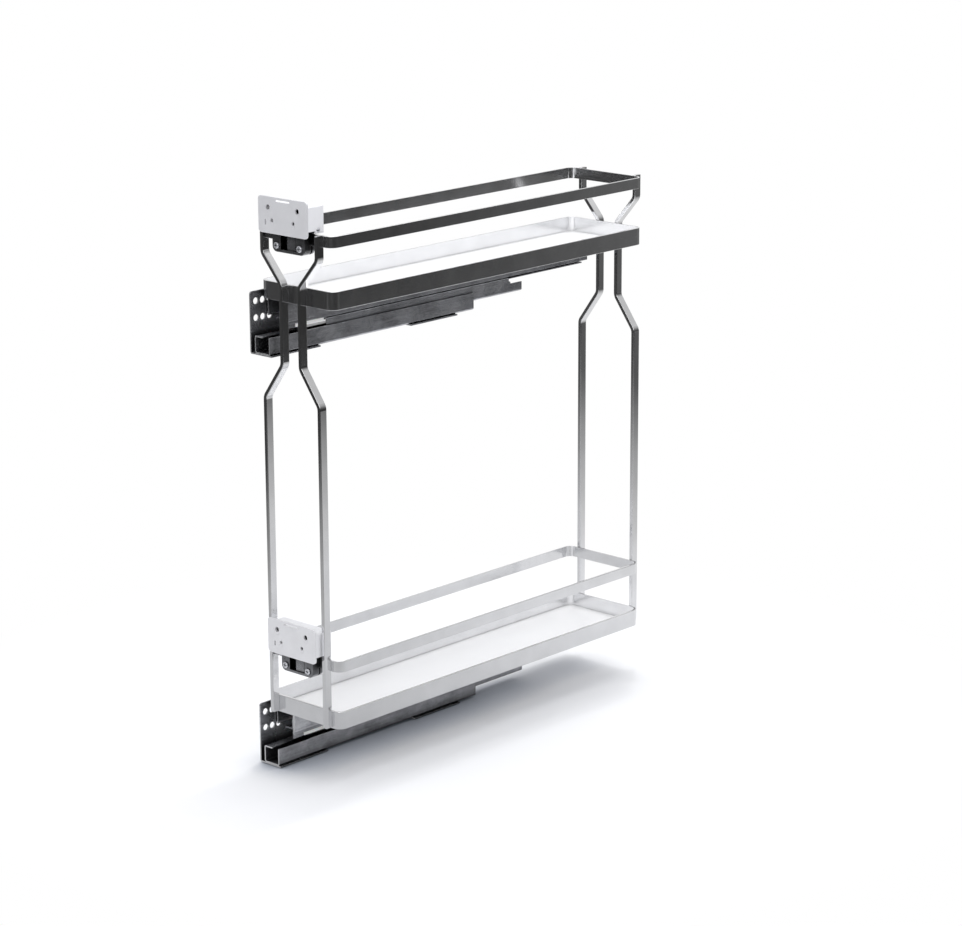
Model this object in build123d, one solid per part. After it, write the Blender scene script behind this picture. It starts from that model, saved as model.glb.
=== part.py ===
from build123d import *
import os

# Two-shelf pull-out basket for a narrow base cabinet, with two side-mounted slides.
# All sizes are in millimetres. The parts are laid out about the basket: X runs across the
# cabinet with 0 in the basket's middle plane, Y runs from the furniture front to the back,
# and Z is up from the underside of the lower tray. save() then moves each part to the final
# frame, whose origin is the middle of the lower front bracket's screw pattern on the wall.

# Basket rings: two trays and two rails, bent from flat bar with rounded corners
BASKET_WIDTH = 106.0
CORNER_RADIUS = 10.0
BAND_THICKNESS = 2.0
BAND_EDGE_ROUNDING = 0.5
TRAY_HEIGHT = 19.0
RAIL_HEIGHT = 12.0
TRAY_LEDGE_WIDTH = 12.0
TRAY_LEDGE_THICKNESS = 1.2
FLOOR_THICKNESS = 1.8
FLOOR_CLEARANCE = 0.3

# Levels: how far the trays stand apart, and each rail's lower edge above its tray's
TRAY_SPACING = 442.0
LOWER_RAIL_RISE = 62.0
UPPER_RAIL_RISE = 63.0

# Posts: flat bar, wide apart at the rails and drawn in to a neck beside the upper tray
FRAME_DEPTH = 500.0
POST_THICKNESS = 4.5
POST_DEPTH = 9.0
POST_SPAN = 83.0
NECK_SPAN = 31.0
POST_BEND_RADIUS = 10.0
POST_EDGE_ROUNDING = 0.7
POST_BOTTOM_INSET = 1.5
POST_TOP_OVERLAP = 0.5
LOWER_SHOULDER_DROP = 99.7
NECK_BOTTOM_DROP = 63.7
NECK_TOP_RISE = 19.8
UPPER_SHOULDER_DROP = 13.2

# Slides: common sizes
WALL_GAP = 3.0
SHEET = 1.4
SHEET_BEND = 1.5
BALL_CLEARANCE = 0.35
BALL_POCKET_CLEARANCE = 0.25

# Wall brackets: an upright flange with screw holes and a foot under the cabinet profile
BRACKET_SHEET = 1.5
FLANGE_RISE = 7.5
FOOT_DROP = 57.0
FOOT_WIDTH = 31.0
FLANGE_CORNER = 3.0
FRONT_BRACKET_START = -3.0
FRONT_BRACKET_LENGTH = 70.0
REAR_BRACKET_LENGTH = 72.0
REAR_BRACKET_INSET = 28.0
WALL_HOLE_DIAMETER = 7.0
WALL_HOLE_TOP_INSET = 10.5
WALL_HOLE_ROW_GAP = 17.6
FRONT_HOLE_EDGE = 7.6
FRONT_HOLE_PITCH = 9.5
FRONT_HOLE_COLUMNS = 3
REAR_HOLE_EDGE = 20.0
REAR_HOLE_PITCH = 32.0
REAR_HOLE_COLUMNS = 2

# Cabinet profile: a box channel, open along the top
PROFILE_WIDTH = 22.0
PROFILE_HEIGHT = 18.5
PROFILE_WALL_GAP = 7.0
PROFILE_LIP = 11.5
PROFILE_LENGTH = 304.0
PROFILE_RIVET_DIAMETER = 3.2
PROFILE_RIVET_HEAD = 4.8
PROFILE_RIVET_HEAD_HEIGHT = 0.8
RIVET_CLEARANCE = 0.05
FRONT_RIVET_INSETS = (15.0, 55.0)
REAR_RIVET_INSETS = (12.0, 60.0)

# Middle member: rides on balls inside the cabinet profile
LOWER_BALL_DIAMETER = 6.9
MIDDLE_START = 79.0
MIDDLE_LENGTH = 302.0
MIDDLE_SIDE_GAP = 0.5
MIDDLE_LEFT_WALL = 7.5
MIDDLE_HEIGHT = 18.0
MIDDLE_TOP_WIDTH = 9.8
NOTCH_LENGTH = 21.0
NOTCH_DEPTH = 7.8
NOTCH_RADIUS = 5.0
FRONT_SLANT = 3.0

# Drawer rail and carrier: the members fixed under the tray
UPPER_BALL_DIAMETER = 6.4
CARRIER_WALL_GAP = 2.5
CARRIER_PROFILE_STEP = 0.5
CARRIER_LEFT_DROP = 20.0
CARRIER_RIGHT_DROP = 27.7
CARRIER_START = 20.0
CARRIER_END_INSET = 10.0
RAIL_UPTURN = 13.0
HOOK_GAP = 1.0
HOOK_DROP = 3.4
HOOK_LIP = 5.5
TRAY_RIVET_DIAMETER = 4.0
TRAY_RIVET_HEAD = 7.0
TRAY_RIVET_HEAD_HEIGHT = 1.2
TRAY_RIVET_EDGE = 6.0
TRAY_RIVET_COUNT = 4
TRAY_RIVET_END = 20.0
HANGER_LENGTH = 41.0
HANGER_DROP = 24.0
HANGER_TOP_GAP = 0.7
SHOE_START_INSET = 15.5
SHOE_MIDDLE_GAP = 3.0
SHOE_WIDTH = 6.0
SHOE_HOOK_GAP = 0.3
SHOE_PROFILE_GAP = 5.0
SHOE_CHAMFER = 0.8
STOP_TAB_INSET = 1.0
STOP_TAB_GAP = 0.3

# Ball cages
LOWER_CAGE_WIDTH = 18.2
LOWER_CAGE_LENGTH = 150.0
LOWER_CAGE_INSET = 35.0
LOWER_CAGE_THICKNESS = 2.6
LOWER_BALL_ROW_SPAN = 9.4
LOWER_BALLS_PER_ROW = 6
UPPER_CAGE_LENGTH = 160.0
UPPER_CAGE_INSET = 117.0
UPPER_CAGE_THICKNESS = 2.5
UPPER_CAGE_SIDE_GAP = 0.6
UPPER_BALL_COUNT = 8
CAGE_END_MARGIN = 7.0

# Front bracket: plate and housing that carry the furniture front
PLATE_WIDTH = 70.0
PLATE_HEIGHT = 37.5
PLATE_THICKNESS = 2.0
PLATE_CORNER = 4.0
PLATE_EDGE_CHAMFER = 0.3
PLATE_DROP = 2.5
PLATE_STAND_OFF = 7.5
LARGE_HOLE_DIAMETER = 5.5
LARGE_HOLE_SPACING = 42.0
LARGE_HOLE_RISE = 24.0
SMALL_HOLE_DIAMETER = 4.0
SMALL_HOLE_SPACING = 30.4
SMALL_HOLE_RISE = 11.0
PLATE_SLOT_LENGTH = 21.0
PLATE_SLOT_WIDTH = 2.0
PLATE_SLOT_RISE = 31.5
EDGE_SLOT_LENGTH = 5.5
EDGE_SLOT_WIDTH = 1.8
EDGE_SLOT_INSET = 10.5
EDGE_SLOT_RISE = 8.5
HOUSING_DEPTH = 22.0
HOUSING_RISE = 29.5
HOUSING_WALL = 2.0
HOUSING_FOOT_GAP = 1.8
HOUSING_ROUNDING = 1.5
CHEEK_CUT_LENGTH = 10.5
CHEEK_CUT_RISE = 4.6
BACK_WALL_RISE = 8.0

# Clamp: grips the rail's front bar between two screws and a jaw
CLAMP_WIDTH = 46.6
CLAMP_DROP = 22.0
CLAMP_CORNER = 6.0
CLAMP_EDGE_ROUNDING = 0.8
JAW_EDGE_CHAMFER = 0.5
CLAMP_HOOK_RISE = 5.5
CLAMP_HOOK_DEPTH = 4.0
RECESS_WIDTH = 22.0
RECESS_HEIGHT = 17.0
RECESS_DEPTH = 6.0
RECESS_FLOOR = 3.0
SPINE_WIDTH = 20.0
SPINE_RISE = 22.0
SPINE_DEPTH = 8.0
JAW_THICKNESS = 3.5
JAW_TOP_GAP = 0.3
CLAMP_SCREW_SPACING = 33.0
CLAMP_SCREW_DROP = 15.3
CLAMP_SCREW_DIAMETER = 3.9
CLAMP_SCREW_CLEARANCE = 0.1
CLAMP_SCREW_HEAD = 7.0
CLAMP_SCREW_HEAD_HEIGHT = 1.8
CLAMP_SCREW_CROWN = 1.1
CLAMP_SCREW_RECESS = 1.2
CLAMP_SCREW_SLOT_WIDTH = 1.0
CLAMP_SCREW_SLOT_LENGTH = 4.2
WEDGE_WIDTH = 12.0
WEDGE_OFFSET = 3.0
WEDGE_DEPTH = 4.5
WEDGE_HEIGHT = 15.5

# Height slider: runs up and down on the clamp's spine and carries the housing
SLIDER_WIDTH = 34.0
SLIDER_HEIGHT = 13.5
SLIDER_HOOK_GAP = 8.0
SLIDER_CLEARANCE = 0.3
SLIDER_CLAW_WIDTH = 3.0
SLIDER_LIP_WIDTH = 3.0
SLIDER_LIP_DEPTH = 2.0
CAM_HEAD_DIAMETER = 4.8
CAM_RUNNING_CLEARANCE = 0.08
CAM_SHANK_DIAMETER = 3.6
CAM_LENGTH = 9.0
CAM_RISE = 5.1
CAM_SETBACK = 15.7
CAM_HEAD_INSET = 0.1
CAM_SLOT_WIDTH = 0.9
CAM_SLOT_DEPTH = 0.8

# Levels of the rings' lower edges
LOWER_TRAY_Z = 0.0
LOWER_RAIL_Z = LOWER_TRAY_Z + LOWER_RAIL_RISE
UPPER_TRAY_Z = LOWER_TRAY_Z + TRAY_SPACING
UPPER_RAIL_Z = UPPER_TRAY_Z + UPPER_RAIL_RISE

# Lines that several parts share
RING_FRONT = POST_DEPTH
RING_BACK = FRAME_DEPTH - POST_DEPTH
RING_LENGTH = RING_BACK - RING_FRONT
WALL_X = -BASKET_WIDTH / 2 - WALL_GAP
PROFILE_LEFT = WALL_X + PROFILE_WALL_GAP
PROFILE_RIGHT = PROFILE_LEFT + PROFILE_WIDTH
PROFILE_MIDDLE = (PROFILE_LEFT + PROFILE_RIGHT) / 2
PROFILE_END = FRONT_BRACKET_START + PROFILE_LENGTH
REAR_BRACKET_START = PROFILE_END - REAR_BRACKET_INSET - REAR_BRACKET_LENGTH
PROFILE_BOTTOM_DROP = FOOT_DROP - BRACKET_SHEET
PROFILE_TOP_DROP = PROFILE_BOTTOM_DROP - PROFILE_HEIGHT
PROFILE_FLOOR_DROP = PROFILE_BOTTOM_DROP - SHEET
MIDDLE_RIGHT = PROFILE_RIGHT - SHEET - MIDDLE_SIDE_GAP
MIDDLE_LEFT = PROFILE_LEFT + SHEET + MIDDLE_SIDE_GAP
MIDDLE_BOTTOM_DROP = PROFILE_FLOOR_DROP - LOWER_BALL_DIAMETER - 2 * BALL_CLEARANCE
MIDDLE_TOP_DROP = MIDDLE_BOTTOM_DROP - MIDDLE_HEIGHT
LOWER_CAGE_START = MIDDLE_START + LOWER_CAGE_INSET
UPPER_CAGE_START = MIDDLE_START + UPPER_CAGE_INSET
CARRIER_LEFT = WALL_X + CARRIER_WALL_GAP
CARRIER_RIGHT = PROFILE_RIGHT - CARRIER_PROFILE_STEP
CARRIER_END = FRAME_DEPTH - CARRIER_END_INSET
WEB_DROP = MIDDLE_TOP_DROP - UPPER_BALL_DIAMETER - 2 * BALL_CLEARANCE
DRAWER_RAIL_RIGHT = CARRIER_RIGHT - SHEET
HOOK_WALL_RIGHT = MIDDLE_RIGHT - MIDDLE_TOP_WIDTH - HOOK_GAP
HOOK_LIP_DROP = MIDDLE_TOP_DROP + HOOK_DROP
HOOK_LIP_RIGHT = HOOK_WALL_RIGHT - SHEET + HOOK_LIP
SHOE_LEFT = HOOK_LIP_RIGHT + SHOE_HOOK_GAP
SHOE_RIGHT = SHOE_LEFT + SHOE_WIDTH
SHOE_START = CARRIER_START + SHOE_START_INSET
SHOE_END = MIDDLE_START - SHOE_MIDDLE_GAP
SHOE_LOW_DROP = PROFILE_TOP_DROP - SHOE_PROFILE_GAP
FRONT_HOLE_Y = FRONT_BRACKET_START + FRONT_HOLE_EDGE
WALL_HOLE_TOP_DROP = WALL_HOLE_TOP_INSET - FLANGE_RISE
PLATE_FRONT_Y = -PLATE_STAND_OFF
PLATE_BACK_Y = PLATE_FRONT_Y + PLATE_THICKNESS
RAIL_INNER_Y = RING_FRONT + BAND_THICKNESS

# The final frame's origin, in the layout's own coordinates
ORIGIN_X = WALL_X
ORIGIN_Y = FRONT_HOLE_Y + FRONT_HOLE_PITCH * (FRONT_HOLE_COLUMNS - 1) / 2
ORIGIN_Z = LOWER_TRAY_Z - WALL_HOLE_TOP_DROP - WALL_HOLE_ROW_GAP / 2


def save(node, solids):
    """Write one node, moved from the layout to the final frame."""
    pieces = [solid.moved(Location((-ORIGIN_X, -ORIGIN_Y, -ORIGIN_Z))) for solid in solids]
    shape = pieces[0] if len(pieces) == 1 else Compound(children=pieces)
    export_step(shape, f"parts/{node}.step")


def block(x0, x1, y0, y1, z0, z1):
    """A box from one corner to the other."""
    size = Box(x1 - x0, y1 - y0, z1 - z0)
    return Pos((x0 + x1) / 2, (y0 + y1) / 2, (z0 + z1) / 2) * size


def along_y(section, start, end):
    """Draw a section in X and Z, and extrude it from one Y to another."""
    plane = Plane(origin=(0, start, 0), x_dir=(1, 0, 0), z_dir=(0, -1, 0))
    return extrude(plane * section, amount=start - end)


def rod_x(y, z, x0, x1, diameter):
    return Pos((x0 + x1) / 2, y, z) * Rot(0, 90, 0) * Cylinder(diameter / 2, x1 - x0)


def rod_y(x, z, y0, y1, diameter):
    return Pos(x, (y0 + y1) / 2, z) * Rot(90, 0, 0) * Cylinder(diameter / 2, y1 - y0)


def rod_z(x, y, z0, z1, diameter):
    return Pos(x, y, (z0 + z1) / 2) * Cylinder(diameter / 2, z1 - z0)


def bent_sheet(points, start, end, thickness=SHEET, radius=SHEET_BEND):
    """A bent strip whose middle line runs through the points, extruded along Y."""
    line = FilletPolyline(*points, radius=radius)
    return along_y(trace(line, line_width=thickness), start, end)


def spread(start, end, count):
    """Evenly spaced places, the first and last included."""
    step = (end - start) / (count - 1)
    return [start + step * index for index in range(count)]


def ring_block(inset, bottom, height):
    """A solid with the rings' outline, drawn in all round by the inset."""
    outline = RectangleRounded(
        BASKET_WIDTH - 2 * inset, RING_LENGTH - 2 * inset, CORNER_RADIUS - inset
    )
    return Pos(0, FRAME_DEPTH / 2, bottom) * extrude(outline, amount=height)


def rounded_ring_block(bottom, height):
    """The rings' outer form, with its long edges eased above and below."""
    outer = ring_block(0, bottom, height)
    levels = outer.faces().filter_by(Axis.Z)
    return fillet(levels.edges(), BAND_EDGE_ROUNDING)


def rail_ring(bottom):
    outer = rounded_ring_block(bottom, RAIL_HEIGHT)
    return outer - ring_block(BAND_THICKNESS, bottom, RAIL_HEIGHT)


def tray_rim(bottom):
    """The tray's band, with the ledge inside its lower edge that carries the floor."""
    outer = rounded_ring_block(bottom, TRAY_HEIGHT)
    floor_level = bottom + TRAY_LEDGE_THICKNESS
    inside = ring_block(BAND_THICKNESS, floor_level, TRAY_HEIGHT)
    opening_width = BASKET_WIDTH - 2 * TRAY_LEDGE_WIDTH
    opening_length = RING_LENGTH - 2 * TRAY_LEDGE_WIDTH
    opening = Pos(0, FRAME_DEPTH / 2, bottom) * Box(opening_width, opening_length, TRAY_HEIGHT)
    rim = outer - inside - opening
    for x, y in tray_rivet_places():
        rim -= rod_z(x, y, bottom - 1, floor_level + 1, TRAY_RIVET_DIAMETER + 2 * RIVET_CLEARANCE)
    return rim


def tray_floor(bottom):
    level = bottom + TRAY_LEDGE_THICKNESS
    return ring_block(BAND_THICKNESS + FLOOR_CLEARANCE, level, FLOOR_THICKNESS)


def post(side, front):
    """One post. side is -1 on the left and 1 on the right."""
    wide = side * (POST_SPAN - POST_THICKNESS) / 2
    neck = side * (NECK_SPAN - POST_THICKNESS) / 2
    corners = [
        (wide, LOWER_TRAY_Z + POST_BOTTOM_INSET),
        (wide, UPPER_TRAY_Z - LOWER_SHOULDER_DROP),
        (neck, UPPER_TRAY_Z - NECK_BOTTOM_DROP),
        (neck, UPPER_TRAY_Z + NECK_TOP_RISE),
        (wide, UPPER_RAIL_Z - UPPER_SHOULDER_DROP),
        (wide, UPPER_RAIL_Z + RAIL_HEIGHT + POST_TOP_OVERLAP),
    ]
    bar = bent_sheet(corners, front, front + POST_DEPTH, POST_THICKNESS, POST_BEND_RADIUS)
    return fillet(bar.faces().filter_by(Axis.Y).edges(), POST_EDGE_ROUNDING)


def wall_bracket(tray, start, length, hole_edge, hole_pitch, hole_columns):
    """Upright flange on the cabinet wall, bent into a foot under the cabinet profile."""
    inner = WALL_X + BRACKET_SHEET / 2
    foot = tray - FOOT_DROP + BRACKET_SHEET / 2
    corners = [
        (inner, tray + FLANGE_RISE),
        (inner, foot),
        (WALL_X + FOOT_WIDTH, foot),
    ]
    bracket = bent_sheet(corners, start, start + length, BRACKET_SHEET, BRACKET_SHEET)
    top_corners = bracket.edges().filter_by(Axis.X).group_by(Axis.Z)[-1]
    bracket = fillet(top_corners, FLANGE_CORNER)
    for column in range(hole_columns):
        y = start + hole_edge + column * hole_pitch
        for row in range(2):
            z = tray - WALL_HOLE_TOP_DROP - row * WALL_HOLE_ROW_GAP
            bracket -= rod_x(y, z, WALL_X - 1, WALL_X + BRACKET_SHEET + 1, WALL_HOLE_DIAMETER)
    return bracket - profile_rivet_holes(tray)


def profile_rivet_places():
    front = [FRONT_BRACKET_START + inset for inset in FRONT_RIVET_INSETS]
    rear = [REAR_BRACKET_START + inset for inset in REAR_RIVET_INSETS]
    return front + rear


def profile_rivet_holes(tray):
    low = tray - FOOT_DROP - 1
    high = tray - PROFILE_FLOOR_DROP + 1
    diameter = PROFILE_RIVET_DIAMETER + 2 * RIVET_CLEARANCE
    return [rod_z(PROFILE_MIDDLE, y, low, high, diameter) for y in profile_rivet_places()]


def profile_rivets(tray):
    """Rivets that hold the cabinet profile's floor on the brackets' feet."""
    foot = tray - FOOT_DROP
    floor = tray - PROFILE_FLOOR_DROP
    rivets = []
    for y in profile_rivet_places():
        shank = rod_z(PROFILE_MIDDLE, y, foot, floor, PROFILE_RIVET_DIAMETER)
        lower = rod_z(PROFILE_MIDDLE, y, foot - PROFILE_RIVET_HEAD_HEIGHT, foot, PROFILE_RIVET_HEAD)
        upper = rod_z(PROFILE_MIDDLE, y, floor, floor + PROFILE_RIVET_HEAD_HEIGHT, PROFILE_RIVET_HEAD)
        rivets.append(shank + lower + upper)
    return rivets


def cabinet_profile(tray):
    half = SHEET / 2
    top = tray - PROFILE_TOP_DROP
    bottom = tray - PROFILE_BOTTOM_DROP + half
    corners = [
        (PROFILE_LEFT + PROFILE_LIP, top - half),
        (PROFILE_LEFT + half, top - half),
        (PROFILE_LEFT + half, bottom),
        (PROFILE_RIGHT - half, bottom),
        (PROFILE_RIGHT - half, top),
    ]
    profile = bent_sheet(corners, FRONT_BRACKET_START, PROFILE_END)
    return profile - profile_rivet_holes(tray)


def middle_profile(tray):
    """Middle member, with the notch that its rear end has."""
    half = SHEET / 2
    bottom = tray - MIDDLE_BOTTOM_DROP
    top = tray - MIDDLE_TOP_DROP
    end = MIDDLE_START + MIDDLE_LENGTH
    corners = [
        (MIDDLE_LEFT + half, bottom + MIDDLE_LEFT_WALL),
        (MIDDLE_LEFT + half, bottom + half),
        (MIDDLE_RIGHT - half, bottom + half),
        (MIDDLE_RIGHT - half, top - half),
        (MIDDLE_RIGHT - MIDDLE_TOP_WIDTH, top - half),
    ]
    profile = bent_sheet(corners, MIDDLE_START, end)
    notch = block(
        MIDDLE_LEFT, MIDDLE_RIGHT + 1, end - NOTCH_LENGTH, end + 1, top - NOTCH_DEPTH, top + 1
    )
    inner_corner = notch.edges().filter_by(Axis.X).sort_by(Axis.Z)[:2].sort_by(Axis.Y)[0]
    profile -= fillet(inner_corner, NOTCH_RADIUS)
    slant = Polyline(
        (MIDDLE_START, bottom), (MIDDLE_START + FRONT_SLANT, bottom), (MIDDLE_START, top), close=True
    )
    wedge_face = Plane(origin=(0, 0, 0), x_dir=(0, 1, 0), z_dir=(1, 0, 0)) * make_face(slant)
    wedge = extrude(wedge_face, amount=-BASKET_WIDTH)
    return profile - wedge


def carrier_profile(tray):
    """Inverted channel that lies against the tray's ledge."""
    half = SHEET / 2
    corners = [
        (CARRIER_LEFT + half, tray - CARRIER_LEFT_DROP),
        (CARRIER_LEFT + half, tray - half),
        (CARRIER_RIGHT - half, tray - half),
        (CARRIER_RIGHT - half, tray - CARRIER_RIGHT_DROP),
    ]
    carrier = bent_sheet(corners, CARRIER_START, CARRIER_END)
    for x, y in tray_rivet_places():
        diameter = TRAY_RIVET_DIAMETER + 2 * RIVET_CLEARANCE
        carrier -= rod_z(x, y, tray - SHEET - 1, tray + 1, diameter)
    return carrier


def drawer_rail(tray):
    """Running rail inside the carrier: a web over the balls, and a hook below the middle member.

    The hook starts behind the shoe. In front of the shoe a tab is folded down from the web.
    """
    half = SHEET / 2
    web = tray - WEB_DROP + half
    corners = [
        (DRAWER_RAIL_RIGHT - half, web + RAIL_UPTURN),
        (DRAWER_RAIL_RIGHT - half, web),
        (HOOK_WALL_RIGHT - half, web),
        (HOOK_WALL_RIGHT - half, tray - HOOK_LIP_DROP),
        (HOOK_LIP_RIGHT, tray - HOOK_LIP_DROP),
    ]
    rail = bent_sheet(corners, CARRIER_START, CARRIER_END)
    hook_front = block(
        CARRIER_LEFT, SHOE_LEFT, CARRIER_START, SHOE_END,
        tray - PROFILE_TOP_DROP, web - SHEET_BEND
    )
    tab = block(
        SHOE_RIGHT - SHEET, SHOE_RIGHT, CARRIER_START + STOP_TAB_INSET, SHOE_START - STOP_TAB_GAP,
        tray - SHOE_LOW_DROP, web + half
    )
    return rail - hook_front + tab


def tray_rivet_places():
    x = CARRIER_LEFT + TRAY_RIVET_EDGE
    places = spread(CARRIER_START + TRAY_RIVET_END, CARRIER_END - TRAY_RIVET_END, TRAY_RIVET_COUNT)
    return [(x, y) for y in places]


def tray_rivets(tray):
    rivets = []
    underside = tray - SHEET
    for x, y in tray_rivet_places():
        shank = rod_z(x, y, underside, tray + TRAY_LEDGE_THICKNESS, TRAY_RIVET_DIAMETER)
        head = rod_z(x, y, underside - TRAY_RIVET_HEAD_HEIGHT, underside, TRAY_RIVET_HEAD)
        rivets.append(shank + head)
    return rivets


def hanger_plate(tray):
    """Zinc plate that doubles the carrier's wall at its front end."""
    front = CARRIER_START
    return block(
        CARRIER_RIGHT, CARRIER_RIGHT + SHEET, front, front + HANGER_LENGTH,
        tray - HANGER_DROP, tray - HANGER_TOP_GAP
    )


def guide_shoe(tray):
    """Nylon shoe under the rail's web, between the tab and the hook, above the cabinet profile."""
    shoe = block(
        SHOE_LEFT, SHOE_RIGHT, SHOE_START, SHOE_END, tray - SHOE_LOW_DROP, tray - WEB_DROP
    )
    ends = shoe.edges().filter_by(Axis.X).group_by(Axis.Z)[0]
    return chamfer(ends, SHOE_CHAMFER)


def ball_places(start, length, count):
    return spread(start + CAGE_END_MARGIN, start + length - CAGE_END_MARGIN, count)


def ball_cage(left, right, start, length, level, thickness, balls, diameter):
    """Nylon strip with a pocket for each ball."""
    half = thickness / 2
    cage = block(left, right, start, start + length, level - half, level + half)
    pocket = diameter + 2 * BALL_POCKET_CLEARANCE
    for x, y in balls:
        cage -= rod_z(x, y, level - thickness, level + thickness, pocket)
    return cage


def balls_at(places, level, diameter):
    return [Pos(x, y, level) * Sphere(diameter / 2) for x, y in places]


def lower_balls(tray):
    """The cage and the two rows of balls between cabinet profile and middle member."""
    level = tray - (PROFILE_FLOOR_DROP + MIDDLE_BOTTOM_DROP) / 2
    half_span = LOWER_BALL_ROW_SPAN / 2
    rows = (PROFILE_MIDDLE - half_span, PROFILE_MIDDLE + half_span)
    along = ball_places(LOWER_CAGE_START, LOWER_CAGE_LENGTH, LOWER_BALLS_PER_ROW)
    places = [(x, y) for x in rows for y in along]
    half_width = LOWER_CAGE_WIDTH / 2
    cage = ball_cage(
        PROFILE_MIDDLE - half_width, PROFILE_MIDDLE + half_width,
        LOWER_CAGE_START, LOWER_CAGE_LENGTH, level, LOWER_CAGE_THICKNESS, places, LOWER_BALL_DIAMETER
    )
    return cage, balls_at(places, level, LOWER_BALL_DIAMETER)


def upper_balls(tray):
    """The cage and the row of balls between middle member and drawer rail."""
    level = tray - (MIDDLE_TOP_DROP + WEB_DROP) / 2
    left = HOOK_WALL_RIGHT + UPPER_CAGE_SIDE_GAP
    right = DRAWER_RAIL_RIGHT - UPPER_CAGE_SIDE_GAP
    middle = (left + right) / 2
    along = ball_places(UPPER_CAGE_START, UPPER_CAGE_LENGTH, UPPER_BALL_COUNT)
    places = [(middle, y) for y in along]
    cage = ball_cage(
        left, right, UPPER_CAGE_START, UPPER_CAGE_LENGTH,
        level, UPPER_CAGE_THICKNESS, places, UPPER_BALL_DIAMETER
    )
    return cage, balls_at(places, level, UPPER_BALL_DIAMETER)


def front_plate(rail):
    """Screw plate that goes on the back of the furniture front."""
    bottom = rail - PLATE_DROP
    middle = bottom + PLATE_HEIGHT / 2
    outline = Pos(0, middle) * RectangleRounded(PLATE_WIDTH, PLATE_HEIGHT, PLATE_CORNER)
    plate = along_y(outline, PLATE_FRONT_Y, PLATE_BACK_Y)
    plate = chamfer(plate.faces().sort_by(Axis.Y)[0].edges(), PLATE_EDGE_CHAMFER)
    for side in (-1, 1):
        large = (side * LARGE_HOLE_SPACING / 2, rail + LARGE_HOLE_RISE, LARGE_HOLE_DIAMETER)
        small = (side * SMALL_HOLE_SPACING / 2, rail + SMALL_HOLE_RISE, SMALL_HOLE_DIAMETER)
        for x, z, diameter in (large, small):
            plate -= rod_y(x, z, PLATE_FRONT_Y - 1, PLATE_BACK_Y + 1, diameter)
    top_slot = Pos(0, rail + PLATE_SLOT_RISE) * SlotOverall(PLATE_SLOT_LENGTH, PLATE_SLOT_WIDTH)
    edge_slot = Pos(EDGE_SLOT_INSET - PLATE_WIDTH / 2, rail + EDGE_SLOT_RISE) * Rot(0, 0, 90)
    edge_slot *= SlotOverall(EDGE_SLOT_LENGTH, EDGE_SLOT_WIDTH)
    for slot in (top_slot, edge_slot):
        plate -= along_y(slot, PLATE_FRONT_Y - 1, PLATE_BACK_Y + 1)
    return plate


def housing(rail):
    """Cover behind the plate: roof, two cheeks and a back wall, open below."""
    half = PLATE_WIDTH / 2
    inner = half - HOUSING_WALL
    back = PLATE_BACK_Y + HOUSING_DEPTH
    bottom = rail + HOUSING_FOOT_GAP
    top = rail + HOUSING_RISE
    body = block(-half, half, PLATE_BACK_Y, back, bottom, top)
    back_edges = body.faces().sort_by(Axis.Y)[-1].edges().sort_by(Axis.Z)[1:]
    side_edges = body.edges().filter_by(Axis.Y).group_by(Axis.Z)[-1]
    body = fillet(back_edges + side_edges, HOUSING_ROUNDING)
    body -= block(-inner, inner, PLATE_BACK_Y - 1, back - HOUSING_WALL, bottom - 1, top - HOUSING_WALL)
    body -= block(-inner, inner, PLATE_BACK_Y, back + 1, bottom - 1, rail + BACK_WALL_RISE)
    cut_end = PLATE_BACK_Y + CHEEK_CUT_LENGTH
    body -= block(-half - 1, half + 1, PLATE_BACK_Y - 1, cut_end, bottom - 1, rail + CHEEK_CUT_RISE)
    hole = CAM_HEAD_DIAMETER + 2 * CAM_RUNNING_CLEARANCE
    return body - rod_x(cam_y(), rail + CAM_RISE, inner - 1, half + 1, hole)


def cam_y():
    return PLATE_FRONT_Y + CAM_SETBACK


def cam_screw(rail):
    """Height adjusting screw in the housing's right cheek, with a screwdriver slot."""
    face = PLATE_WIDTH / 2 - CAM_HEAD_INSET
    y, z = cam_y(), rail + CAM_RISE
    head = rod_x(y, z, face - HOUSING_WALL, face, CAM_HEAD_DIAMETER)
    shank = rod_x(y, z, face - CAM_LENGTH, face - HOUSING_WALL, CAM_SHANK_DIAMETER)
    half_slot = CAM_SLOT_WIDTH / 2
    slot = block(
        face - CAM_SLOT_DEPTH, face + 1, y - CAM_HEAD_DIAMETER, y + CAM_HEAD_DIAMETER,
        z - half_slot, z + half_slot
    )
    return head + shank - slot


def clamp_screw_places(rail):
    half = CLAMP_SCREW_SPACING / 2
    return [(-half, rail - CLAMP_SCREW_DROP), (half, rail - CLAMP_SCREW_DROP)]


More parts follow.
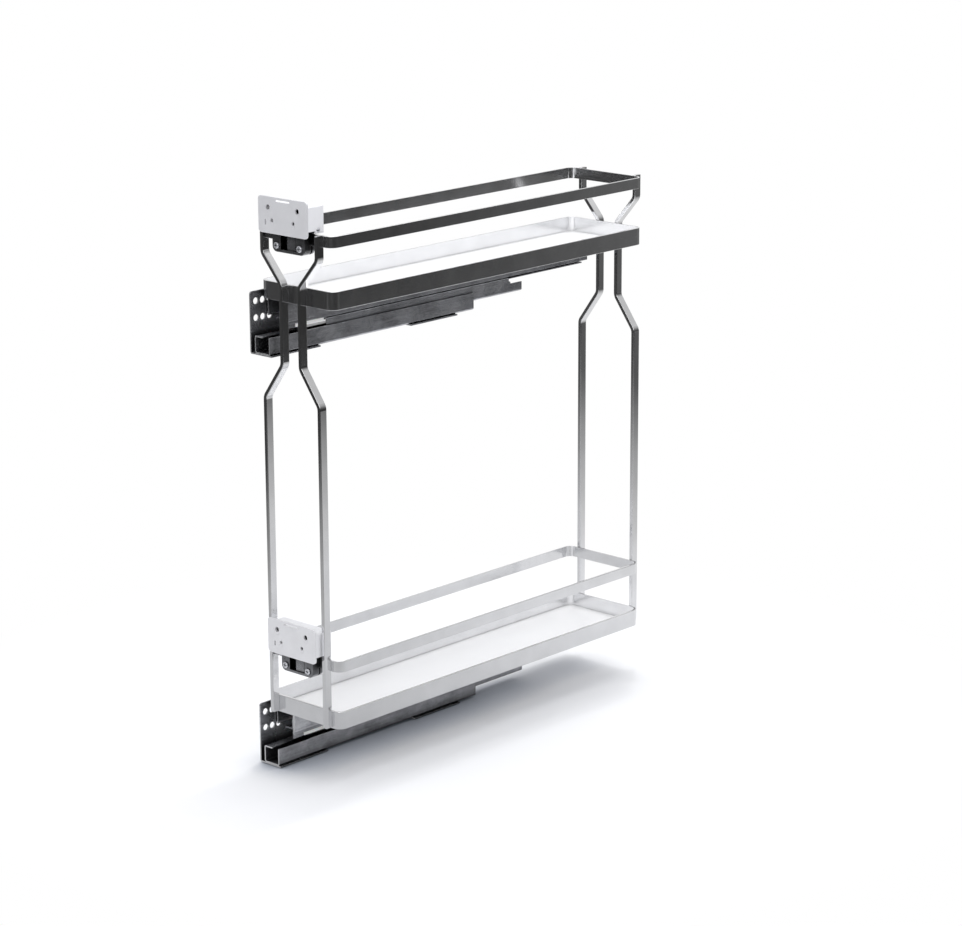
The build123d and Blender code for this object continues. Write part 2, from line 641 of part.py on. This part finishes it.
def clamp_body(rail):
    """Front half of the rail clamp, with the spine that the height slider runs on."""
    half = CLAMP_WIDTH / 2
    hook_top = rail + CLAMP_HOOK_RISE
    hook_back = RAIL_INNER_Y + CLAMP_HOOK_DEPTH
    front = block(-half, half, 0, RING_FRONT, rail - CLAMP_DROP, hook_top)
    front = fillet(front.edges().filter_by(Axis.Y).group_by(Axis.Z)[0], CLAMP_CORNER)
    front = fillet(front.faces().sort_by(Axis.Y)[0].edges(), CLAMP_EDGE_ROUNDING)
    hook = block(-half, half, RING_FRONT, hook_back, rail, hook_top)
    spine_half = SPINE_WIDTH / 2
    spine = block(-spine_half, spine_half, 0, SPINE_DEPTH, hook_top, rail + SPINE_RISE)
    body = front + hook + spine
    recess_half = RECESS_WIDTH / 2
    recess_floor = rail - CLAMP_DROP + RECESS_FLOOR
    body -= block(
        -recess_half, recess_half, -1, RECESS_DEPTH, recess_floor, recess_floor + RECESS_HEIGHT
    )
    for x, z in clamp_screw_places(rail):
        body -= rod_y(x, z, -1, RING_FRONT + 1, CLAMP_SCREW_DIAMETER + 2 * CLAMP_SCREW_CLEARANCE)
    return body


def clamp_jaw(rail):
    """Rear half of the clamp, drawn against the rail's inner face by the screws."""
    half = CLAMP_WIDTH / 2
    jaw = block(
        -half, half, RAIL_INNER_Y, RAIL_INNER_Y + JAW_THICKNESS,
        rail - CLAMP_DROP, rail - JAW_TOP_GAP
    )
    jaw = fillet(jaw.edges().filter_by(Axis.Y).group_by(Axis.Z)[0], CLAMP_CORNER)
    jaw = chamfer(jaw.faces().sort_by(Axis.Y)[-1].edges(), JAW_EDGE_CHAMFER)
    for x, z in clamp_screw_places(rail):
        hole = CLAMP_SCREW_DIAMETER + CLAMP_SCREW_CLEARANCE
        jaw -= rod_y(x, z, RAIL_INNER_Y - 1, RAIL_INNER_Y + JAW_THICKNESS + 1, hole)
    return jaw


def clamp_screws(rail):
    """Pan-head cross-slotted screws through both halves, just below the rail."""
    screws = []
    for x, z in clamp_screw_places(rail):
        head = rod_y(x, z, -CLAMP_SCREW_HEAD_HEIGHT, 0, CLAMP_SCREW_HEAD)
        rim = head.edges().filter_by(GeomType.CIRCLE).sort_by(Axis.Y)[0]
        head = fillet(rim, CLAMP_SCREW_CROWN)
        shank = rod_y(x, z, 0, RAIL_INNER_Y + JAW_THICKNESS, CLAMP_SCREW_DIAMETER)
        screw = head + shank
        arm = CLAMP_SCREW_SLOT_LENGTH / 2
        half_slot = CLAMP_SCREW_SLOT_WIDTH / 2
        front = -CLAMP_SCREW_HEAD_HEIGHT
        for wide, tall in ((arm, half_slot), (half_slot, arm)):
            screw -= block(
                x - wide, x + wide, front - 1, front + CLAMP_SCREW_RECESS, z - tall, z + tall
            )
        screws.append(screw)
    return screws


def tilt_wedge(rail):
    """Adjusting piece that shows inside the clamp's recess."""
    recess_floor = rail - CLAMP_DROP + RECESS_FLOOR
    left = WEDGE_OFFSET - WEDGE_WIDTH / 2
    return block(
        left, left + WEDGE_WIDTH, RECESS_DEPTH - WEDGE_DEPTH, RECESS_DEPTH,
        recess_floor, recess_floor + WEDGE_HEIGHT
    )


def height_slider(rail):
    """Plate behind the screw plate, with two claws round the clamp's spine."""
    half = SLIDER_WIDTH / 2
    bottom = rail + CLAMP_HOOK_RISE + SLIDER_HOOK_GAP
    top = bottom + SLIDER_HEIGHT
    front = PLATE_BACK_Y + SLIDER_CLEARANCE
    back = -SLIDER_CLEARANCE
    slider = block(-half, half, front, back, bottom, top)
    claw = SPINE_WIDTH / 2 + SLIDER_CLEARANCE
    lip = SPINE_DEPTH + SLIDER_CLEARANCE
    claws = block(
        -claw - SLIDER_CLAW_WIDTH, claw + SLIDER_CLAW_WIDTH, back, lip + SLIDER_LIP_DEPTH, bottom, top
    )
    claws -= block(-claw, claw, back, lip, bottom - 1, top + 1)
    slot = claw - SLIDER_LIP_WIDTH
    claws -= block(-slot, slot, back, lip + SLIDER_LIP_DEPTH + 1, bottom - 1, top + 1)
    return slider + claws


def save_frame():
    """Posts, rings and floors: the welded basket."""
    for side, side_name in ((-1, "left"), (1, "right")):
        save(f"front_{side_name}_post", [post(side, 0)])
        save(f"rear_{side_name}_post", [post(side, FRAME_DEPTH - POST_DEPTH)])
    save("lower_rail", [rail_ring(LOWER_RAIL_Z)])
    save("upper_rail", [rail_ring(UPPER_RAIL_Z)])
    for level, tray in (("lower", LOWER_TRAY_Z), ("upper", UPPER_TRAY_Z)):
        save(f"{level}_tray_rim", [tray_rim(tray)])
        save(f"{level}_tray_floor", [tray_floor(tray)])


def save_slide(level, tray):
    front = wall_bracket(
        tray, FRONT_BRACKET_START, FRONT_BRACKET_LENGTH,
        FRONT_HOLE_EDGE, FRONT_HOLE_PITCH, FRONT_HOLE_COLUMNS
    )
    rear = wall_bracket(
        tray, REAR_BRACKET_START, REAR_BRACKET_LENGTH,
        REAR_HOLE_EDGE, REAR_HOLE_PITCH, REAR_HOLE_COLUMNS
    )
    save(f"{level}_front_wall_bracket", [front])
    save(f"{level}_rear_wall_bracket", [rear])
    save(f"{level}_cabinet_profile", [cabinet_profile(tray)])
    save(f"{level}_profile_rivets", profile_rivets(tray))
    save(f"{level}_middle_profile", [middle_profile(tray)])
    for cage_name, (cage, balls) in (("lower", lower_balls(tray)), ("upper", upper_balls(tray))):
        save(f"{level}_slide_{cage_name}_cage", [cage])
        save(f"{level}_slide_{cage_name}_balls", balls)
    save(f"{level}_carrier_profile", [carrier_profile(tray)])
    save(f"{level}_drawer_rail", [drawer_rail(tray)])
    save(f"{level}_tray_rivets", tray_rivets(tray))
    save(f"{level}_hanger_plate", [hanger_plate(tray)])
    save(f"{level}_guide_shoe", [guide_shoe(tray)])


def save_front_bracket(level, rail):
    save(f"{level}_front_plate", [front_plate(rail)])
    save(f"{level}_bracket_housing", [housing(rail)])
    save(f"{level}_height_slider", [height_slider(rail)])
    save(f"{level}_clamp_body", [clamp_body(rail)])
    save(f"{level}_clamp_jaw", [clamp_jaw(rail)])
    save(f"{level}_clamp_screws", clamp_screws(rail))
    save(f"{level}_tilt_wedge", [tilt_wedge(rail)])
    save(f"{level}_cam_screw", [cam_screw(rail)])


os.makedirs("parts", exist_ok=True)
save_frame()
save_slide("lower", LOWER_TRAY_Z)
save_slide("upper", UPPER_TRAY_Z)
save_front_bracket("lower", LOWER_RAIL_Z + RAIL_HEIGHT)
save_front_bracket("upper", UPPER_RAIL_Z + RAIL_HEIGHT)
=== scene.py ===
import math

import bpy
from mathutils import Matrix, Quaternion, Vector


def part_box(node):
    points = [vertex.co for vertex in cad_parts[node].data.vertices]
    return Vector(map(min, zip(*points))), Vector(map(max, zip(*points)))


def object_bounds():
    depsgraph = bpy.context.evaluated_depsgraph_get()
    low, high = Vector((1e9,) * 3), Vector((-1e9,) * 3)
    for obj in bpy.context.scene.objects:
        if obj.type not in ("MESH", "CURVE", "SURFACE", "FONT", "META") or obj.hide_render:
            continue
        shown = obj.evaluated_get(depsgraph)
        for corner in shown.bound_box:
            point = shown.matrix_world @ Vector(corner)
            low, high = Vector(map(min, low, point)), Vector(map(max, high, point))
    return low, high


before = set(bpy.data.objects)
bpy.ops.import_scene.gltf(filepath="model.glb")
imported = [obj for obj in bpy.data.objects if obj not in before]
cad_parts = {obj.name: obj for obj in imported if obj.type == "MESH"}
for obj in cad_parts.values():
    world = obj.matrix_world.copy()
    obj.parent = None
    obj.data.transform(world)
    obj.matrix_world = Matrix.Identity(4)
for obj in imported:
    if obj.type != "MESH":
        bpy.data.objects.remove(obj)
cad_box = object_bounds()
LEVELS = ("lower", "upper")

# The photograph's viewpoint: where it looks, from how far, and how steeply (metres, degrees)
AIM = Vector((0.085895, 0.2359, 0.246291))
DISTANCE = 3.247636
YAW = math.radians(42.733)
PITCH = math.radians(14.844)
ROLL = math.radians(0.257)
LENS = 113.14
SENSOR = 36.0
CLIP = (0.1, 60.0)

# Studio floor: how near the object the camera sees its shadow, and where plain white paper starts
FLOOR_LEVEL = cad_box[0].z
FLOOR_HALF = 9.0
CENTRE = (cad_box[0] + cad_box[1]) / 2
SHADOW_RADIUS = 0.30
PAPER_RADIUS = 0.62

# In reflections the floor is a painted reflection: a bright table in a dark room, with painted
# shade towards the front and a painted glow. Each of its edges is a direction along the floor,
# then the reach from the centre where it is dark, and where it is bright.
TABLE_LEVEL = 0.66
TABLE_EDGES = (
    ((-1.0, 0.0), 0.95, 0.35),
    ((0.60, 1.0), 1.90, 0.82),
    ((0.70, -0.70), 1.25, 0.60),
)
TABLE_SHADE = (-0.15, 0.40, 0.74)
ROOM_LEVEL = 0.03
ROOM_GLOW = ((-1.0, 1.0), -0.27, 0.8, 0.11)
LIT_REACH = (0.45, 0.85)

# Shade in narrow recesses and on the floor under the object: how far it looks, in metres, and with
# how many rays. The floor's looks towards the light, and takes these tones from deep to open.
RECESS_REACH = 0.02
RECESS_RAYS = 8
SHADOW_REACH = 0.06
SHADOW_RAYS = 16
SHADOW_LEAN = (-0.5, 0.5, 0.7)
SHADOW_TONES = (
    (0.15, (0.26, 0.29, 0.34)), (0.60, (0.62, 0.65, 0.70)), (0.95, (0.945, 0.948, 0.952))
)
FLOOR_WHITE = 0.93

# Rounding that only the light sees, on edges that are too fine to show
RING_EDGE = 0.0003
ZINC_EDGE = 0.0006
EDGE_RAYS = 4

# Front plate's holes: radius, spacing and rise above its lower edge; and their pressed rims
LARGE_HOLES = (0.00275, 0.042, 0.024)
SMALL_HOLES = (0.002, 0.0304, 0.011)
RIM_WIDTH = 0.0008
RIM_DEPTH = 0.0003

# Not quite upright, so that it never lies along a face's normal, which would leave no direction
NEARLY_UP = (0.02, 0.03, 1.0)

# The room: its light, and the greys that metal mirrors on its dark side and towards BRIGHT_SIDE,
# from level to straight up. SIDE_BLEND says where one side passes into the other.
SKY = (0.72, 0.728, 0.76)
BRIGHT_SIDE = (-0.68, 0.73, 0.0)
SIDE_BLEND = ((0.15, 0.0), (0.6, 1.0))
DARK_TONES = ((0.0, 0.05), (0.15, 0.12), (0.40, 0.40), (1.0, 0.9))
BRIGHT_TONES = ((0.0, 0.3), (0.12, 0.85), (1.0, 0.95))

# Lamps: place, with its first two lengths from the object's centre, height aimed at, size, power
LAMPS = {
    "overhead": ((-0.30, 0.50, 2.6), 0.2, (2.4, 2.4), 35),
    "small_key": ((-0.12, 0.47, 2.6), 0.2, (0.08, 0.08), 7),
    "front_fill": ((1.6, -2.6, 1.5), 0.25, (1.8, 1.4), 14),
}


class Nodes:
    """Short helpers to build one material's node tree."""

    def __init__(self, name, world=False):
        self.owner = bpy.data.worlds.new(name) if world else bpy.data.materials.new(name)
        self.owner.use_nodes = True
        self.tree = self.owner.node_tree
        self.tree.nodes.clear()

    def add(self, kind, inputs=None, **settings):
        node = self.tree.nodes.new(kind)
        for key, value in settings.items():
            setattr(node, key, value)
        for key, value in (inputs or {}).items():
            self.plug(node.inputs[key], value)
        return node

    def plug(self, socket, value):
        if isinstance(value, bpy.types.NodeSocket):
            self.tree.links.new(value, socket)
        else:
            socket.default_value = value

    def place(self, scale=(1, 1, 1)):
        """The object's own coordinates in metres, stretched along each axis."""
        coords = self.add("ShaderNodeTexCoord").outputs["Object"]
        return self.add("ShaderNodeMapping", {"Vector": coords, "Scale": scale}).outputs["Vector"]

    def noise(self, scale, detail, rough, stretch=(1, 1, 1)):
        where = self.place(stretch)
        inputs = {"Vector": where, "Scale": scale, "Detail": detail, "Roughness": rough}
        return self.add("ShaderNodeTexNoise", inputs).outputs["Fac"]

    def ramp(self, value, *stops):
        """A colour ramp from (position, colour) stops."""
        node = self.add("ShaderNodeValToRGB", {"Fac": value})
        elements = node.color_ramp.elements
        while len(elements) < len(stops):
            elements.new(0.5)
        for element, (position, colour) in zip(elements, stops):
            element.position = position
            element.color = (*colour, 1.0)
        return node.outputs["Color"]

    def limits(self, value, start, end, low=0.0, high=1.0):
        """A value mapped from start..end to low..high, and held there outside."""
        inputs = {"Value": value, "From Min": start, "From Max": end, "To Min": low, "To Max": high}
        return self.add("ShaderNodeMapRange", inputs).outputs["Result"]

    def span(self, value, low, high):
        """A value from 0 to 1, stretched to run from low to high."""
        return self.limits(value, 0.0, 1.0, low, high)

    def vector(self, operation, first, second, output="Value"):
        inputs = {0: first, 1: second}
        return self.add("ShaderNodeVectorMath", inputs, operation=operation).outputs[output]

    def mix(self, factor, first, second, blend="MIX"):
        node = self.add("ShaderNodeMix", data_type="RGBA", blend_type=blend)
        for socket, value in ((0, factor), (6, first), (7, second)):
            self.plug(node.inputs[socket], value)
        return node.outputs[2]

    def math(self, operation, first, second):
        return self.add("ShaderNodeMath", {0: first, 1: second}, operation=operation).outputs[0]

    def around(self, point, reach):
        """0 nearer to the object's foot than the first radius of reach, 1 past the second."""
        away = self.vector("DISTANCE", point, (CENTRE.x, CENTRE.y, FLOOR_LEVEL))
        inputs = {"Value": away, "From Min": reach[0], "From Max": reach[1]}
        smooth = self.add("ShaderNodeMapRange", inputs, interpolation_type="SMOOTHSTEP")
        return smooth.outputs["Result"]

    def bump(self, height, strength, distance, normal=None):
        inputs = {"Height": height, "Strength": strength, "Distance": distance}
        if normal is not None:
            inputs["Normal"] = normal
        return self.add("ShaderNodeBump", inputs).outputs["Normal"]

    def occlusion(self, reach, samples, lean=None):
        """1 in the open, towards 0 in corners and narrow gaps; lean turns it towards the light."""
        inputs = {"Distance": reach}
        if lean:
            inputs["Normal"] = self.add("ShaderNodeCombineXYZ", dict(zip("XYZ", lean))).outputs[0]
        return self.add("ShaderNodeAmbientOcclusion", inputs, samples=samples).outputs["AO"]

    def along_bar(self):
        """The level direction in a wall's own face, and some direction in a level face."""
        normal = self.add("ShaderNodeNewGeometry").outputs["True Normal"]
        return self.vector("CROSS_PRODUCT", NEARLY_UP, normal, "Vector")

    def edges(self, radius):
        """The surface's normal, softened at its edges so that they catch the light."""
        return self.add("ShaderNodeBevel", {"Radius": radius}, samples=EDGE_RAYS).outputs["Normal"]

    def blend(self, factor, first, second):
        """One shader where factor is 0 and another where it is 1."""
        return self.add("ShaderNodeMixShader", {0: factor, 1: first, 2: second}).outputs[0]

    def diffuse(self, colour):
        return self.add("ShaderNodeBsdfDiffuse", {"Color": colour}).outputs[0]

    def emission(self, colour):
        return self.add("ShaderNodeEmission", {"Color": colour}).outputs[0]

    def principled(self, inputs):
        shader = self.add("ShaderNodeBsdfPrincipled", inputs)
        self.add("ShaderNodeOutputMaterial", {"Surface": shader.outputs[0]})


def cool(level, amount=0.008):
    """A grey that leans a little to blue."""
    return (level * (1 - amount), level * (1 - amount * 0.6), level * (1 + amount))


def grey(level):
    return (level, level, level)


def greys(stops):
    return [(position, grey(level)) for position, level in stops]


def rgba(colour):
    return (*colour, 1.0)


def chrome(name, level, roughness, brushed=0.0, edge=0.0):
    """Bright chrome over polished steel: faint waves, a trace of haze and of fine polish lines.

    A brushed finish blurs reflections upwards and downwards more than along the bar.
    """
    m = Nodes(name)
    waves = m.noise(9.0, 2.0, 0.4)
    haze = m.noise(38.0, 4.0, 0.6)
    lines = m.noise(900.0, 2.0, 0.6, (1.0, 0.05, 1.0))
    tone = m.ramp(haze, (0.35, cool(level * 0.95)), (0.7, cool(level * 1.04)))
    normal = m.bump(waves, 0.05, 0.004, m.edges(edge) if edge else None)
    normal = m.bump(lines, 0.02, 0.0001, normal)
    m.principled({
        "Base Color": tone, "Metallic": 1.0, "Normal": normal,
        "Roughness": m.span(haze, roughness * 0.9, roughness * 1.15),
        "Anisotropic": brushed, "Anisotropic Rotation": 0.25,
        "Tangent": m.along_bar(),
    })
    return m.owner


def zinc(name, level, roughness, spangle, metal, bright_ends=False, recess=0.01):
    """Galvanised sheet: soft crystal patches, rolling lines along the profile and dull smears.

    Painted shade darkens narrow recesses to the share called recess, and with bright_ends the sheet
    ends that face the front get a light bare-metal colour, partly painted highlight: ends facing
    back keep the zinc tone.
    """
    m = Nodes(name)
    cells = m.add("ShaderNodeTexVoronoi", {"Vector": m.place((1, 0.6, 1)), "Scale": 95.0})
    patch = m.ramp(cells.outputs["Color"], (0.0, grey(0.0)), (1.0, grey(1.0)))
    cloud = m.noise(42.0, 6.0, 0.72, (1.0, 0.7, 1.0))
    lines = m.noise(520.0, 3.0, 0.6, (1.0, 0.03, 1.0))
    speck = m.noise(260.0, 3.0, 0.7)
    tone = m.ramp(cloud, (0.34, cool(level * 0.55, 0.06)), (0.68, cool(level * 1.40, 0.04)))
    tone = m.mix(spangle, tone, patch, "OVERLAY")
    tone = m.mix(0.25, tone, m.ramp(speck, (0.3, cool(level * 0.6)), (0.7, cool(level * 1.35))))
    tone = m.mix(0.22, tone, m.ramp(lines, (0.35, cool(level * 0.5)), (0.65, cool(level * 1.4))))
    # Painted shade: the colour darkens to the share called recess where occlusion finds narrow
    # recesses
    open_air = m.occlusion(RECESS_REACH, RECESS_RAYS)
    painted_recess_shade = m.ramp(open_air, (0.45, grey(recess)), (0.85, grey(1.0)))
    tone = m.mix(1.0, tone, painted_recess_shade, "MULTIPLY")
    # Partly painted highlight: sheet ends facing the front get a light bare-metal colour, while
    # ends facing back keep the zinc tone
    if bright_ends:
        facing = m.add("ShaderNodeNewGeometry").outputs["Normal"]
        front = m.add("ShaderNodeSeparateXYZ", {0: facing}).outputs["Y"]
        bare_end_and_highlight = m.ramp(m.math("MULTIPLY", front, -1.0), (0.90, grey(0.0)), (0.97, grey(1.0)))
        tone = m.mix(bare_end_and_highlight, tone, rgba(cool(0.85)))
    normal = m.bump(lines, 0.10, 0.0002, m.edges(ZINC_EDGE))
    normal = m.bump(cloud, 0.06, 0.0006, normal)
    m.principled({
        "Base Color": tone, "Metallic": metal, "Normal": normal,
        "Roughness": m.span(cloud, roughness * 0.8, roughness * 1.25),
    })
    return m.owner


def moulded(name, colour, roughness, grain_depth, subsurface=0.0):
    """Moulded plastic or coated board: a fine even grain, with a slight change of tone."""
    m = Nodes(name)
    cloud = m.noise(16.0, 3.0, 0.5)
    grain = m.noise(1400.0, 2.0, 0.5)
    low = tuple(c * 0.97 for c in colour)
    tone = m.ramp(cloud, (0.3, low), (0.7, colour))
    normal = m.bump(grain, 0.25, grain_depth)
    m.principled({
        "Base Color": tone, "Normal": normal,
        "Subsurface Weight": subsurface, "Subsurface Scale": 0.002,
        "Roughness": m.span(grain, roughness * 0.9, roughness * 1.12),
    })
    return m.owner


def hole_rims(m):
    """Height of the pressed rims round the front plates' holes, 0 at a hole and 1 on the flat."""
    here = m.place()
    heights = []
    for level in LEVELS:
        low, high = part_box(f"{level}_front_plate")
        middle = (low.x + high.x) / 2
        for radius, spacing, rise in (LARGE_HOLES, SMALL_HOLES):
            for side in (-1, 1):
                centre = (middle + side * spacing / 2, low.y, low.z + rise)
                away = m.vector("DISTANCE", here, centre)
                heights.append(m.limits(away, radius, radius + RIM_WIDTH))
    lowest = heights[0]
    for height in heights[1:]:
        lowest = m.math("MINIMUM", lowest, height)
    return lowest


def powder_coat(name, colour, roughness):
    """Painted metal with pressed hole rims: orange peel and a slight change of tone."""
    m = Nodes(name)
    peel = m.noise(700.0, 2.0, 0.5)
    cloud = m.noise(45.0, 3.0, 0.5)
    low = tuple(c * 0.94 for c in colour)
    tone = m.ramp(cloud, (0.32, low), (0.68, colour))
    normal = m.bump(hole_rims(m), 1.0, RIM_DEPTH)
    m.principled({
        "Base Color": tone, "Metallic": 0.25, "Normal": m.bump(peel, 0.2, 0.0002, normal),
        "Roughness": m.span(peel, roughness * 0.88, roughness * 1.15),
        "Coat Weight": 0.15, "Coat Roughness": 0.25,
    })
    return m.owner


def make_materials():
    return {
        "post": chrome("chrome_post", 0.82, 0.10, brushed=0.2),
        "ring": chrome("chrome_ring", 0.84, 0.16, brushed=0.6, edge=RING_EDGE),
        "ball": chrome("steel_ball", 0.68, 0.06),
        "slide": zinc("zinc_slide", 0.54, 0.22, spangle=0.22, metal=0.84, bright_ends=True),
        "runner": zinc("zinc_runner", 0.50, 0.26, spangle=0.20, metal=0.85),
        "bracket": zinc(
            "zinc_bracket", 0.46, 0.26, spangle=0.25, metal=0.84, bright_ends=True, recess=0.15
        ),
        "light_zinc": zinc(
            "bright_zinc", 0.80, 0.22, spangle=0.10, metal=0.92, bright_ends=True, recess=0.15
        ),
        "screw": zinc("bright_screw", 0.94, 0.24, spangle=0.0, metal=0.70, recess=0.30),
        "cam": zinc("cast_cam", 0.86, 0.34, spangle=0.05, metal=0.35),
        "clamp": zinc("dark_cast_clamp", 0.28, 0.28, spangle=0.05, metal=0.92),
        "wedge": zinc("dark_cast_wedge", 0.34, 0.26, spangle=0.05, metal=0.90, recess=0.25),
        "board": moulded("white_board", grey(0.965), 0.42, 0.0001),
        "nylon": moulded("white_nylon", (0.82, 0.82, 0.80), 0.38, 0.0001, subsurface=0.15),
        "cover": moulded("light_grey_cover", (0.85, 0.85, 0.865), 0.40, 0.0002),
        "plate": powder_coat("light_grey_paint", (0.82, 0.82, 0.835), 0.34),
    }


POST_NODES = ("front_left_post", "front_right_post", "rear_left_post", "rear_right_post")
PARTS_BY_LOOK = {
    "ring": ("rail", "tray_rim"),
    "ball": ("slide_lower_balls", "slide_upper_balls"),
    "slide": ("cabinet_profile", "middle_profile", "carrier_profile"),
    "runner": ("drawer_rail",),
    "bracket": ("front_wall_bracket", "rear_wall_bracket"),
    "light_zinc": ("profile_rivets", "tray_rivets", "hanger_plate"),
    "screw": ("clamp_screws",),
    "cam": ("cam_screw",),
    "clamp": ("height_slider", "clamp_body", "clamp_jaw"),
    "wedge": ("tilt_wedge",),
    "board": ("tray_floor",),
    "nylon": ("slide_lower_cage", "slide_upper_cage", "guide_shoe"),
    "cover": ("bracket_housing",),
    "plate": ("front_plate",),
}


def dress():
    """Give every node its finish."""
    looks = make_materials()
    finish = {name: "post" for name in POST_NODES}
    for look, parts in PARTS_BY_LOOK.items():
        finish.update({f"{level}_{part}": look for level in LEVELS for part in parts})
    for name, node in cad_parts.items():
        node.data.materials.clear()
        node.data.materials.append(looks[finish[name]])


def area_light(name, place, aim, size, power):
    data = bpy.data.lights.new(name, "AREA")
    data.shape = "RECTANGLE"
    data.size, data.size_y = size
    data.energy = power
    light = bpy.data.objects.new(name, data)
    bpy.context.scene.collection.objects.link(light)
    light.location = place
    light.rotation_euler = (aim - place).to_track_quat("-Z", "Y").to_euler()


def painted_floor_reflection(m, point):
    """Painted reflection of the floor, seen only by metal: a bright table with the object's shadow
    near it, glowing with set tones further out, in a dark room.
    """
    def reach(across, along):
        along_floor = m.vector("DOT_PRODUCT", point, (across, along, 0.0))
        return m.math("SUBTRACT", along_floor, across * CENTRE.x + along * CENTRE.y)

    start, end, low = TABLE_SHADE
    level = m.limits(reach(0.0, 1.0), start, end, low, 1.0)
    for direction, dark, bright in TABLE_EDGES:
        level = m.math("MULTIPLY", level, m.limits(reach(*direction), dark, bright))
    level = m.span(level, ROOM_LEVEL, TABLE_LEVEL)
    direction, start, end, glow = ROOM_GLOW
    level = m.math("ADD", level, m.limits(reach(*direction), start, end, 0.0, glow))
    return m.blend(m.around(point, LIT_REACH), m.diffuse(level), m.emission(level))


def make_floor():
    """White floor with the object's shadow, plain white further out."""
    mesh = bpy.data.meshes.new("floor")
    x, y = CENTRE.x, CENTRE.y
    corners = [
        (x + FLOOR_HALF * a, y + FLOOR_HALF * b, FLOOR_LEVEL)
        for a, b in ((-1, -1), (1, -1), (1, 1), (-1, 1))
    ]
    mesh.from_pydata(corners, [], [(0, 1, 2, 3)])
    floor = bpy.data.objects.new("floor", mesh)
    bpy.context.scene.collection.objects.link(floor)
    m = Nodes("studio_floor")
    rays = m.add("ShaderNodeLightPath").outputs
    point = m.add("ShaderNodeNewGeometry").outputs["Position"]
    tone = m.ramp(m.occlusion(SHADOW_REACH, SHADOW_RAYS, SHADOW_LEAN), *SHADOW_TONES)
    away = m.around(point, (SHADOW_RADIUS, PAPER_RADIUS))
    seen = m.blend(away, m.diffuse(tone), m.emission(rgba(grey(1.0))))
    plain = m.diffuse(rgba(grey(FLOOR_WHITE)))
    # Metal sees the painted floor reflection instead of the plain floor
    unseen = m.blend(rays["Is Glossy Ray"], plain, painted_floor_reflection(m, point))
    surface = m.blend(rays["Is Camera Ray"], unseen, seen)
    m.add("ShaderNodeOutputMaterial", {"Surface": surface})
    mesh.materials.append(m.owner)


def make_world():
    """White to the camera, soft grey light, and in reflections a room that is dark on one side."""
    m = Nodes("studio_world", world=True)
    rays = m.add("ShaderNodeLightPath").outputs
    direction = m.add("ShaderNodeTexCoord").outputs["Generated"]
    up = m.add("ShaderNodeSeparateXYZ", {0: direction}).outputs["Z"]
    turn = m.vector("DOT_PRODUCT", direction, BRIGHT_SIDE)
    dark, bright = m.ramp(up, *greys(DARK_TONES)), m.ramp(up, *greys(BRIGHT_TONES))
    mirrored = m.mix(m.ramp(turn, *greys(SIDE_BLEND)), dark, bright)
    tone = m.mix(rays["Is Glossy Ray"], rgba(SKY), mirrored)
    tone = m.mix(rays["Is Camera Ray"], tone, rgba(grey(1.0)))
    background = m.add("ShaderNodeBackground", {"Color": tone, "Strength": 1.0}).outputs[0]
    m.add("ShaderNodeOutputWorld", {"Surface": background})
    bpy.context.scene.world = m.owner


def make_lights():
    middle = Vector((CENTRE.x, CENTRE.y, 0.0))
    for name, (place, aim_height, size, power) in LAMPS.items():
        aim = middle + Vector((0.0, 0.0, aim_height))
        area_light(name, middle + Vector(place), aim, size, power)


def make_camera():
    data = bpy.data.cameras.new("photo_camera")
    data.lens = LENS
    data.sensor_width = SENSOR
    data.clip_start, data.clip_end = CLIP
    camera = bpy.data.objects.new("photo_camera", data)
    bpy.context.scene.collection.objects.link(camera)
    ahead = Vector((
        -math.sin(YAW) * math.cos(PITCH), math.cos(YAW) * math.cos(PITCH), -math.sin(PITCH)
    ))
    camera.location = AIM - ahead * DISTANCE
    camera.rotation_mode = "QUATERNION"
    camera.rotation_quaternion = Quaternion(ahead, ROLL) @ ahead.to_track_quat("-Z", "Y")
    bpy.context.scene.camera = camera


dress()
make_floor()
make_world()
make_lights()
make_camera()
bpy.context.scene.view_settings.view_transform = "Standard"
